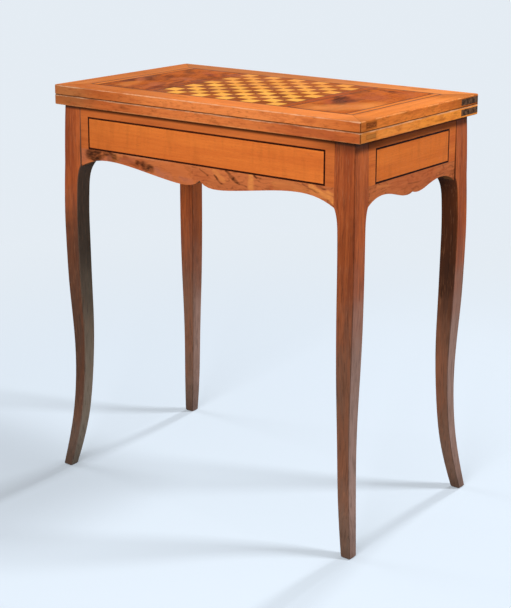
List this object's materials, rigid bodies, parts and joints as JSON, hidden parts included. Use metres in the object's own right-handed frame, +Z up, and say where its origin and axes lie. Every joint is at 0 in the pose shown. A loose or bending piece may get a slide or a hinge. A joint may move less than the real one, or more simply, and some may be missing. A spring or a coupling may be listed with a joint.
{
  "type": "games table",
  "caption": "Small games table: curved legs, shaped apron, and a double top that turns on a pivot and unfolds, with a chequered board outside and baize inside.",
  "frame": {"origin": "on the floor below the middle of the frame", "axes": "+Z up, +X along the long front to the right, the front faces -Y and the top's hinges are at the back, +Y"},
  "size_m": [0.658, 0.38, 0.73],
  "materials": {
    "leg_wood": "waxed red-brown fruitwood",
    "carcase_wood": "unpolished secondary wood",
    "string": "blackened stringing, polished flush",
    "frieze_veneer": "French polished fruitwood veneer",
    "banding_veneer": "French polished fruitwood banding",
    "apron_veneer": "French polished figured walnut veneer",
    "border_wood": "French polished fruitwood, worn along the edges",
    "bearing_felt": "thin wool felt",
    "baize": "green wool baize",
    "brass": "darkened old brass",
    "iron": "dark wrought iron",
    "light_square": "polished light golden veneer",
    "dark_square": "polished brown walnut veneer",
    "figured_veneer": "polished burr walnut veneer",
    "dark_band": "polished dark walnut veneer",
    "outer_band": "polished fruitwood veneer"
  },
  "bodies": {
    "frame": {"front_left_leg": "leg_wood", "front_right_leg": "leg_wood", "back_left_leg": "leg_wood", "back_right_leg": "leg_wood", "front_rail": "carcase_wood", "front_frieze_stringing": "string", "front_frieze_field": "frieze_veneer", "front_frieze_banding": "banding_veneer", "front_apron_veneer": "apron_veneer", "right_rail": "carcase_wood", "right_frieze_stringing": "string", "right_frieze_field": "frieze_veneer", "right_frieze_banding": "banding_veneer", "right_apron_veneer": "apron_veneer", "back_rail": "carcase_wood", "back_frieze_stringing": "string", "back_frieze_field": "frieze_veneer", "back_frieze_banding": "banding_veneer", "back_apron_veneer": "apron_veneer", "left_rail": "carcase_wood", "left_frieze_stringing": "string", "left_frieze_field": "frieze_veneer", "left_frieze_banding": "banding_veneer", "left_apron_veneer": "apron_veneer", "pivot_rail": "carcase_wood", "well_bottom": "carcase_wood", "well_runners": "carcase_wood", "tenon_pegs": "carcase_wood", "bearing_felts": "bearing_felt"},
    "lower_leaf": {"lower_panel": "carcase_wood", "lower_front_border": "border_wood", "lower_right_border": "border_wood", "lower_back_border": "border_wood", "lower_left_border": "border_wood", "lower_baize": "baize", "pivot_plate": "iron", "pivot_pin": "iron", "pivot_washer": "iron", "pivot_nut": "iron", "turn_stop": "carcase_wood", "lower_hinge_plates": "brass", "hinge_pins": "brass"},
    "upper_leaf": {"upper_panel": "carcase_wood", "upper_front_border": "border_wood", "upper_right_border": "border_wood", "upper_back_border": "border_wood", "upper_left_border": "border_wood", "upper_baize": "baize", "light_squares": "light_square", "dark_squares": "dark_square", "top_stringing": "string", "left_figured_panel": "figured_veneer", "right_figured_panel": "figured_veneer", "board_bands": "dark_band", "outer_bands": "outer_band", "upper_hinge_plates": "brass"}
  },
  "joints": [
    {"name": "top_turn", "type": "hinge", "parent": "frame", "child": "lower_leaf", "pos_m": [0.0925, 0.0925, 0.6947], "axis": [0, 0, 1], "range_deg": [0, 90]},
    {"name": "leaf_fold", "type": "hinge", "parent": "lower_leaf", "child": "upper_leaf", "pos_m": [0, 0.18515, 0.71235], "axis": [-1, 0, 0], "range_deg": [0, 180]}
  ]
}
